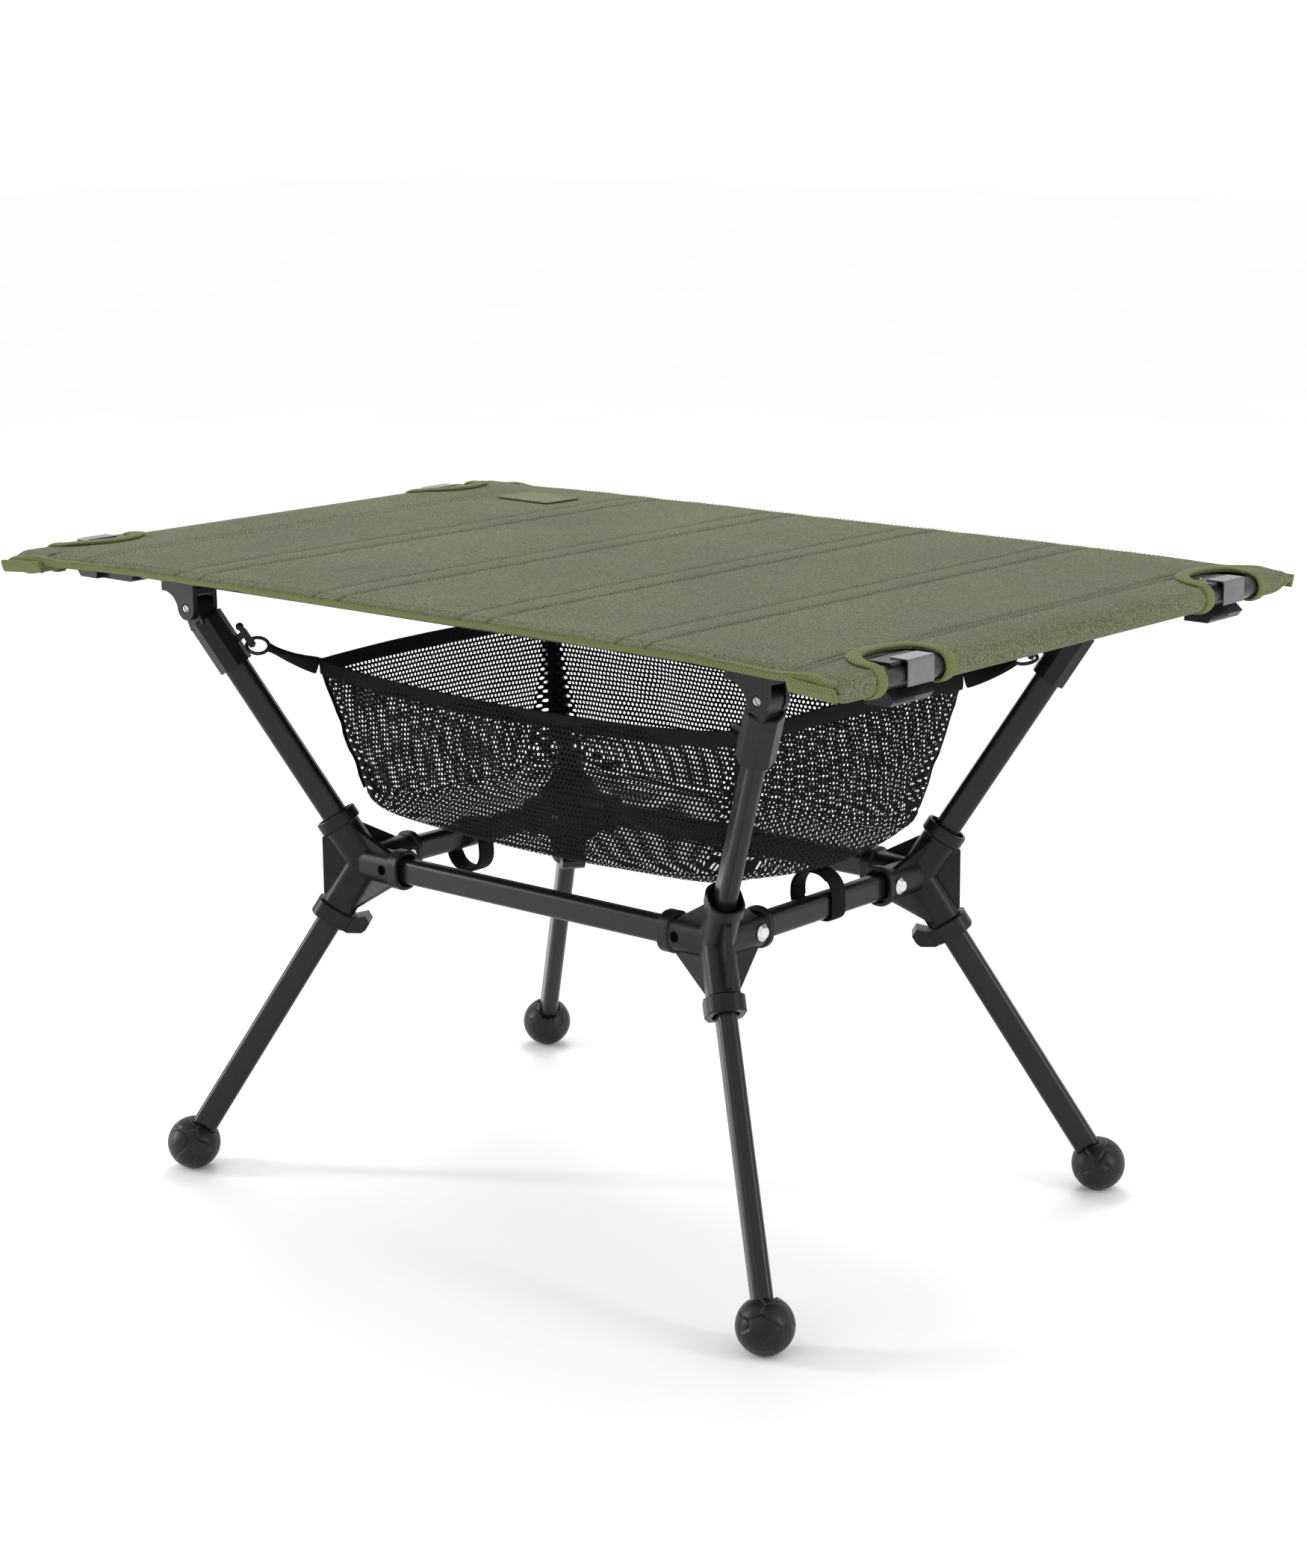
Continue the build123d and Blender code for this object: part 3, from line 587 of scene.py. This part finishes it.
def roll_height(x):
    """Height of the cloth's upper face at x, on the flat or over an end tube."""
    out = abs(x) - TUBE_X
    if abs(x) <= FLAT_END:
        return TOP_Z
    rise = math.sqrt(max(0.0, ROLL * ROLL - max(out, 0.0) ** 2))
    over = TUBE_Z + rise
    share = smooth_step(abs(x), FLAT_END, TUBE_X)
    return TOP_Z * (1 - share) + over * share


def edge_binding(side_y):
    """Ribbed tape folded over a long edge."""
    tape = 10 * MM
    rows = []
    count = 260
    for step in range(count + 1):
        x = (cloth_high.x - 4 * MM) * (2 * step / count - 1)
        y = long_edge(x)
        z = roll_height(x) + surface_lift(x, side_y * y) - 0.3 * MM
        puff = 0.35 * MM * wrinkle(x, side_y, 60, 8.0)
        section = (
            (-tape, 0.15 * MM),
            (-tape * 0.6, 0.75 * MM + puff),
            (-tape * 0.2, 0.7 * MM),
            (0.7 * MM, -0.2 * MM),
            (1.3 * MM, -1.8 * MM),
            (0.5 * MM, -3.9 * MM),
            (-tape * 0.3, -4.1 * MM - puff),
            (-tape, -2.6 * MM),
            (-tape, -1.2 * MM),
            (-tape * 0.3, -1.1 * MM),
        )
        rows.append([Vector((x, side_y * (y + off), z + rise)) for off, rise in section])
    name = "binding_front" if side_y < 0 else "binding_rear"
    mesh = grid_mesh(name, rows, closed_columns=True, caps=True)
    return new_piece(name, "table_top", TAPE, mesh)


def opening_binding(corner, side_x, side_y):
    """Tape round an opening for a clip, which runs down both sides of the end tube."""
    _, places = cutter_mesh(side_x, side_y)
    inner = places[1:-1]
    path = []
    for sign, (_, y) in ((0, inner[0]), (1, inner[-1])):
        arm = []
        for step in range(17):
            angle = math.radians(80 - 190 * step / 16)
            radius = ROLL + 0.4 * MM
            x = side_x * (TUBE_X + radius * math.cos(angle))
            arm.append(Vector((x, y, TUBE_Z + radius * math.sin(angle))))
        path.append(arm if sign else arm[::-1])
    crown = []
    for x, y in inner:
        z = roll_height(x) + surface_lift(x, y) + 1.3 * MM
        crown.append(Vector((x, y, z)))
    whole = path[0] + crown + path[1]
    centre = Vector((side_x * (TUBE_X + 5 * MM), side_y * (RAIL_Y + 4 * MM), 0))

    def outward(index):
        point = whole[index]
        if index < len(path[0]) or index >= len(whole) - len(path[1]):
            return Vector((0, 1 if point.y > centre.y else -1, 0))
        flat = Vector((point.x - centre.x, point.y - centre.y, 0)).normalized()
        return flat

    shifted = [point + outward(index) * 3.5 * MM for index, point in enumerate(whole)]
    rows = swept_band(shifted, outward, 10 * MM, 2.8 * MM)
    mesh = grid_mesh(f"opening_tape_{corner}", rows, closed_columns=True, caps=True)
    piece = new_piece(f"opening_tape_{corner}", "table_top", TAPE, mesh)
    soft = piece.modifiers.new("soft", "SUBSURF")
    soft.levels = soft.render_levels = 1
    return piece


def binding_end(corner, side_x, side_y):
    """Spare end of the binding, folded back under the corner."""
    length, height = 37 * MM, 9 * MM
    steps = 24
    path = []
    for step in range(steps + 1):
        share = step / steps
        x = side_x * (cloth_high.x - 1 * MM - length * share)
        y = side_y * (long_edge(x) + 2.2 * MM)
        path.append(Vector((x, y, TUBE_Z - 1.5 * MM + 2.0 * MM * share)))
    rows = swept_band(path, lambda index: Vector((0, side_y * 0.35, 1)), height, 3.6 * MM, rounded=0.5)
    mesh = grid_mesh(f"binding_end_{corner}", rows, closed_columns=True, caps=True)
    return new_piece(f"binding_end_{corner}", "table_top", TAPE, mesh)


def add_stitch(work, place, along, up, length, width):
    across = along.cross(up).normalized()
    tips = [
        place + along * length / 2,
        place + across * width / 2,
        place - along * length / 2,
        place - across * width / 2,
    ]
    crest = work.verts.new(place + up * width * 0.45)
    base = work.verts.new(place - up * width * 0.45)
    ring = [work.verts.new(tip) for tip in tips]
    for index in range(4):
        following = ring[(index + 1) % 4]
        work.faces.new((ring[index], following, crest))
        work.faces.new((following, ring[index], base))


def stitching():
    """Rows of stitches along the hems, the channels' seams and the bound edges."""
    work = bmesh.new()
    lines = [(x, 3.0 * MM, 1.5 * MM) for x in LEFT_HEM]
    lines += [(x, 2.9 * MM, 1.1 * MM) for x in RIGHT_HEM]
    lines += [(x, 2.6 * MM, 0.95 * MM) for x in seam_lines]
    pitch = 3.7 * MM
    for x, length, width in lines:
        reach = HALF_WIDTH - 11 * MM
        for step in range(int(2 * reach / pitch)):
            y = -reach + (step + 0.5) * pitch
            blocked = abs(abs(y) - RAIL_Y - 4 * MM) < 38 * MM and abs(x) > TUBE_X - 46 * MM
            if blocked:
                continue
            place = Vector((x, y, TOP_Z + surface_lift(x, y) + 0.25 * MM))
            add_stitch(work, place, Vector((0.08, 1, 0)).normalized(), Vector((0, 0, 1)), length, width)
    for side_y in (-1, 1):
        reach = FLAT_END - 4 * MM
        for step in range(int(2 * reach / pitch)):
            x = -reach + (step + 0.5) * pitch
            y = side_y * (long_edge(x) - 7.5 * MM)
            place = Vector((x, y, TOP_Z + surface_lift(x, y) + 0.45 * MM))
            add_stitch(work, place, Vector((1, 0, 0)), Vector((0, 0, 1)), 2.6 * MM, 0.6 * MM)
    mesh = bpy.data.meshes.new("stitches")
    work.to_mesh(mesh)
    work.free()
    return new_piece("stitches", "table_top", THREAD, mesh)


def patch():
    """Plain sewn patch near the rear left corner."""
    middle = Vector((-251 * MM, 170 * MM, 0))
    half_x, half_y = 28 * MM, 18 * MM
    turn = Matrix.Rotation(math.radians(-3), 3, "Z")
    rows = []
    steps_x, steps_y = 28, 18
    for a in range(steps_y + 1):
        row = []
        for b in range(steps_x + 1):
            u, v = 2 * b / steps_x - 1, 2 * a / steps_y - 1
            flat = middle + turn @ Vector((u * half_x, v * half_y, 0))
            rim = smooth_step(max(abs(u), abs(v)), 0.8, 0.92)
            z = TOP_Z + surface_lift(flat.x, flat.y) + 0.75 * MM + 0.5 * MM * rim
            row.append(Vector((flat.x, flat.y, z)))
        rows.append(row)
    piece = new_piece("sewn_patch", "table_top", PATCH, grid_mesh("sewn_patch", rows))
    thicken(piece, 0.9 * MM)
    return piece


sheet = cloth_top()
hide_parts("cloth_top")
trims = [edge_binding(-1), edge_binding(1), stitching(), patch()]
for corner, (side_x, side_y) in CORNERS.items():
    trims.append(opening_binding(corner, side_x, side_y))
    trims.append(binding_end(corner, side_x, side_y))

# ---------------------------------------------------------------- mesh basket
RIM_X, RIM_Y, RIM_Z = basket_high.x, basket_high.y, basket_high.z
SIDE_STEPS = 30
BAND = 11 * MM  # height of the webbing rim


def basket_outline(depth, steps_long=44, steps_short=28, steps_corner=8):
    """Points round the basket: (place, bow, long side).  depth is 0 at the rim, 1 below."""
    half_x = RIM_X - 2 * MM - 15 * MM * depth**1.25
    half_y = RIM_Y - 2 * MM - 15 * MM * depth**1.15
    corner = 7 * MM + 20 * MM * depth
    pull = (1 - depth) ** 2
    points = []
    spans = (
        (Vector((half_x, -half_y + corner)), Vector((half_x, half_y - corner)), steps_short),
        (Vector((half_x - corner, half_y)), Vector((-half_x + corner, half_y)), steps_long),
        (Vector((-half_x, half_y - corner)), Vector((-half_x, -half_y + corner)), steps_short),
        (Vector((-half_x + corner, -half_y)), Vector((half_x - corner, -half_y)), steps_long),
    )
    centres = ((1, 1), (-1, 1), (-1, -1), (1, -1))
    for index, (start, end, steps) in enumerate(spans):
        inward = Vector((-(end - start).y, (end - start).x)).normalized()
        along = index % 2
        waist = 9 * MM if along else -2 * MM
        for step in range(steps):
            share = step / steps
            bow = 4 * share * (1 - share)
            hollow = waist * pull * bow - 7 * MM * math.sin(math.pi * depth) * bow
            points.append((start.lerp(end, share) + inward * hollow, bow, along))
        centre = Vector((centres[index][0] * (half_x - corner), centres[index][1] * (half_y - corner)))
        for step in range(steps_corner):
            angle = math.pi / 2 * (index + step / steps_corner)
            points.append((centre + corner * Vector((math.cos(angle), math.sin(angle))), 0.0, 0))
    return points


def rim_height(bow, along):
    if along:
        return RIM_Z - 4 * MM - 12 * MM * bow**0.8
    return RIM_Z - 4 * MM + 3 * MM * bow


def side_rows():
    rows = []
    for step in range(SIDE_STEPS + 1):
        depth = step / SIDE_STEPS
        row = []
        for place, bow, along in basket_outline(depth):
            top = rim_height(bow, along)
            floor_z = basket_low.z + 27 * MM - 17 * MM * bow**0.7
            z = top + (floor_z - top) * depth
            fold = noise.noise(Vector((place.x * 18, place.y * 18, depth * 3)))
            fold += 0.7 * noise.noise(Vector((place.x * 34, place.y * 34, depth * 5 + 4)))
            out = place.normalized() * fold * 7.0 * MM * math.sin(math.pi * min(1, depth + 0.1))
            inward = math.copysign(abs(out.x), place.x) * 0.6
            row.append(Vector((place.x - inward, place.y + out.y * 0.8, z)))
        rows.append(row)
    return rows


def basket():
    rows = side_rows()
    last = rows[-1]
    turn_steps = 16
    bottom_z = basket_low.z + 1 * MM
    for step in range(1, turn_steps + 1):
        share = step / turn_steps
        keep = math.cos(share * math.pi / 2) ** 0.8
        row = []
        for point in last:
            flat = Vector((point.x, point.y, 0)) * max(keep, 0.02)
            drop = (point.z - bottom_z) * math.sin(min(1.0, share * 1.7) * math.pi / 2)
            sag = 5 * MM * noise.noise(Vector((flat.x * 14, flat.y * 14, 2)))
            z = point.z - drop + (sag + 3 * MM) * share
            row.append(Vector((flat.x, flat.y, max(z, bottom_z))))
        rows.append(row)
    lengths = []
    for row in rows[: SIDE_STEPS + 1]:
        travel, marks = 0.0, []
        for index, point in enumerate(row):
            marks.append(travel)
            travel += (row[(index + 1) % len(row)] - point).length
        lengths.append(marks + [travel])

    def flat_place(row, column):
        if row <= SIDE_STEPS:
            point = rows[row][column % len(rows[row])]
            return (lengths[0][column], RIM_Z - point.z)
        point = rows[row][column % len(rows[row])]
        down = RIM_Z - rows[SIDE_STEPS][column % len(last)].z
        run = (last[column % len(last)].xy - point.xy).length
        return (lengths[0][column], down + run)

    mesh = grid_mesh("basket_net", rows, closed_columns=True, uv=flat_place)
    work = bmesh.new()
    work.from_mesh(mesh)
    layer = work.loops.layers.uv["weave"]
    floor_top = basket_low.z + 24 * MM
    for face in work.faces:
        middle = face.calc_center_median()
        if middle.z < floor_top and abs(face.normal.z) > 0.55:
            for loop in face.loops:
                loop[layer].uv = (loop.vert.co.x, loop.vert.co.y)
    work.to_mesh(mesh)
    work.free()
    piece = new_piece("basket_net", "frame", MESH, mesh)
    return piece


def basket_rim():
    """Webbing round the rim, which dips between its corners."""
    top = [Vector((place.x, place.y, rim_height(bow, along))) for place, bow, along in basket_outline(0.0)]
    path = [point - Vector((0, 0, BAND / 2)) for point in top]
    rows = swept_band(path, lambda index: Vector((0, 0, 1)), BAND, 2.0 * MM, closed=True, rounded=0.4)
    mesh = grid_mesh("basket_rim", rows, closed_rows=True, closed_columns=True)
    piece = new_piece("basket_rim", "frame", WEBBING, mesh)
    soft = piece.modifiers.new("soft", "SUBSURF")
    soft.levels = soft.render_levels = 1
    return piece


def corner_seams(rows):
    """Bound seams down the corners of the basket."""
    pieces = []
    middles = []
    count = 0
    for steps in (28, 44, 28, 44):
        count += steps
        middles.append(count + 4)
        count += 8
    for index, column in enumerate(middles):
        points = [row[column] for row in rows]
        path = [point + Vector((point.x, point.y, 0)).normalized() * 0.6 * MM for point in points]
        side = Vector((-path[0].y, path[0].x, 0)).normalized()
        made = swept_band(path, lambda _, side=side: side, 8 * MM, 1.4 * MM)
        mesh = grid_mesh(f"basket_seam_{index + 1}", made, closed_columns=True, caps=True)
        pieces.append(new_piece(f"basket_seam_{index + 1}", "frame", WEBBING, mesh))
    return pieces


net = basket()
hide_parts("mesh_basket")
basket_trims = [basket_rim(), *corner_seams(side_rows())]


# ---------------------------------------------------------------- ties and straps
def ring_far_side(side_x, side_y):
    """Inner side of a cord ring, nearest the middle of the table."""
    points = [v.co for v in nodes["basket_rings"].data.vertices]
    near = [co for co in points if co.x * side_x > 0 and co.y * side_y > 0]
    return min(near, key=lambda co: abs(co.x) * 0.83 + abs(co.y) * 0.56).copy()


def tie(corner, side_x, side_y):
    """Webbing folded round a cord ring and twisted to the basket's corner."""
    start = ring_far_side(side_x, side_y)
    end = Vector((side_x * (RIM_X - 3 * MM), side_y * (RIM_Y - 3 * MM), RIM_Z - 9 * MM))
    line = end - start
    steps = 22
    path = []
    for step in range(steps + 1):
        share = step / steps
        sag = -1.5 * MM * math.sin(math.pi * share)
        path.append(start - line * 0.05 + line * 1.05 * share + Vector((0, 0, sag)))
    level = Vector((-side_y, side_x, 0)).normalized()

    def turned(index):
        share = index / steps
        return level * math.cos(1.9 * share) + Vector((0, 0, 1)) * math.sin(1.9 * share)

    rows = swept_band(path, turned, 13 * MM, 6.5 * MM, rounded=0.6)
    for index, row in enumerate(rows):
        share = index / steps
        squeeze = 0.8 + 0.2 * abs(2 * share - 1) ** 1.5
        middle = sum(row, Vector()) / len(row)
        rows[index] = [middle + (point - middle) * squeeze for point in row]
    mesh = grid_mesh(f"basket_tie_{corner}", rows, closed_columns=True, caps=True)
    piece = new_piece(f"basket_tie_{corner}", "frame", WEBBING, mesh)
    soft = piece.modifiers.new("soft", "SUBSURF")
    soft.levels = soft.render_levels = 1
    return piece


ties = [tie(corner, *sides) for corner, sides in CORNERS.items()]
for piece in ties:
    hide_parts("basket_ties")


def rounded_loop(corners, radii):
    """Closed outline with each corner replaced by an arc."""
    points = []
    count = len(corners)
    for index in range(count):
        here = Vector(corners[index])
        before = (Vector(corners[index - 1]) - here).normalized()
        after = (Vector(corners[(index + 1) % count]) - here).normalized()
        half = before.angle(after) / 2
        radius = radii[index]
        centre = here + (before + after).normalized() * radius / math.sin(half)
        first = here + before * radius / math.tan(half) - centre
        last = here + after * radius / math.tan(half) - centre
        sweep = first.angle_signed(last)
        for step in range(9):
            turn = Matrix.Rotation(-sweep * step / 8, 2)
            points.append(centre + turn @ first)
    return points


def strap(name, node, outline, radii, tail):
    """Hook-and-loop strap: a closed loop with its end lapped over itself."""
    low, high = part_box(node)
    middle_y = (low.y + high.y) / 2
    width = high.y - low.y
    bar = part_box("cross_bar_right" if low.x > 0 else "cross_bar_left")
    centre = (bar[0] + bar[1]) / 2
    half = 0.8 * MM
    inner = rounded_loop([(x * MM, z * MM) for x, z in outline], [r * MM for r in radii])
    middle = sum(inner, Vector((0, 0))) / len(inner)
    points = [point - (point - middle).normalized() * half for point in inner]
    path = [Vector((centre.x + p.x, middle_y, centre.z + p.y)) for p in points]
    wide = width - 0.6 * MM
    rows = swept_band(path, lambda index: Vector((0, 1, 0)), wide, 1.5 * MM, closed=True, rounded=0.3)
    mesh = grid_mesh(name, rows, closed_rows=True, closed_columns=True)
    body = "right_strap" if low.x > 0 else "left_strap"
    piece = new_piece(name, body, WEBBING, mesh)
    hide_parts(node)
    first, last = tail
    count = len(path)
    over = []
    for index in range(first, last):
        point = path[index % count]
        away = Vector((point.x - centre.x - middle.x, 0, point.z - centre.z - middle.y)).normalized()
        over.append(point - away * 1.6 * MM)
    lap = swept_band(over, lambda index: Vector((0, 1, 0)), width - 2 * MM, 1.2 * MM, rounded=0.3)
    lap_mesh = grid_mesh(name + "_tail", lap, closed_columns=True, caps=True)
    new_piece(name + "_tail", body, WEBBING, lap_mesh)
    return piece


STANDING = ((-28.5, -11.5), (8.6, -11.5), (8.6, 23.5), (-28.5, 23.5))
HANGING = ((-18, -28), (18, -28), (17, -4), (8.7, 11.6), (-8.7, 11.6), (-17, -4))
strap("strap_right", "bar_strap_right", STANDING, (15, 6, 17, 17), (22, 38))
strap("strap_left", "bar_strap_left", HANGING, (15, 15, 8, 5.5, 5.5, 8), (2, 22))


# ---------------------------------------------------------------- floor, light and camera
def floor():
    mesh = bpy.data.meshes.new("floor")
    size = 14.0
    corners = [(-size, -size, 0), (size, -size, 0), (size, size, 0), (-size, size, 0)]
    mesh.from_pydata(corners, [], [(0, 1, 2, 3)])
    piece = bpy.data.objects.new("floor", mesh)
    bpy.context.scene.collection.objects.link(piece)
    shader = Shader("pale_floor", (0.95, 0.95, 0.95), 0.6)
    shader.colour(shader.ramp(shader.noise(3, 2), 0.3, 0.7, (0.955, 0.955, 0.955), (0.97, 0.97, 0.97)))
    mesh.materials.append(shader.material)


def area_light(name, place, target, size, power):
    data = bpy.data.lights.new(name, "AREA")
    data.shape = "RECTANGLE"
    data.size, data.size_y = size
    data.energy = power
    lamp = bpy.data.objects.new(name, data)
    lamp.location = place
    lamp.rotation_euler = (Vector(target) - Vector(place)).to_track_quat("-Z", "Y").to_euler()
    bpy.context.scene.collection.objects.link(lamp)


def studio():
    floor()
    world = bpy.data.worlds.new("studio")
    world.use_nodes = True
    world.node_tree.nodes["Background"].inputs["Color"].default_value = (1, 1, 1, 1)
    world.node_tree.nodes["Background"].inputs["Strength"].default_value = 1.02
    bpy.context.scene.world = world
    area_light("key", (-1.2, 1.6, 2.6), (0, 0, 0.35), (1.4, 1.4), 33)
    area_light("right_side", (2.6, 0.4, 1.0), (0, 0, 0.3), (0.3, 1.6), 20)
    area_light("left_side", (-2.4, -1.6, 1.0), (0, 0, 0.3), (0.3, 1.6), 42)
    area_light("front", (0.5, -3.0, 1.6), (0, 0, 0.3), (1.6, 1.0), 4)


def camera():
    """The photograph's view: 40 degrees round to the right, 13 degrees above level."""
    data = bpy.data.cameras.new("camera")
    data.sensor_width = 36
    data.lens = 71.83
    data.shift_x = -0.0381
    data.shift_y = 0.0017
    right = Vector((0.769, 0.640, -0.003)).normalized()
    forward = Vector((-0.623, 0.748, -0.228)).normalized()
    up = right.cross(forward).normalized()
    right = forward.cross(up)
    view = Matrix((right, up, -forward)).transposed().to_4x4()
    view.translation = (1.4210, -1.6230, 0.7970)
    made = bpy.data.objects.new("camera", data)
    made.matrix_world = view
    bpy.context.scene.collection.objects.link(made)
    bpy.context.scene.camera = made


studio()
camera()
bpy.context.scene.view_settings.view_transform = "Standard"
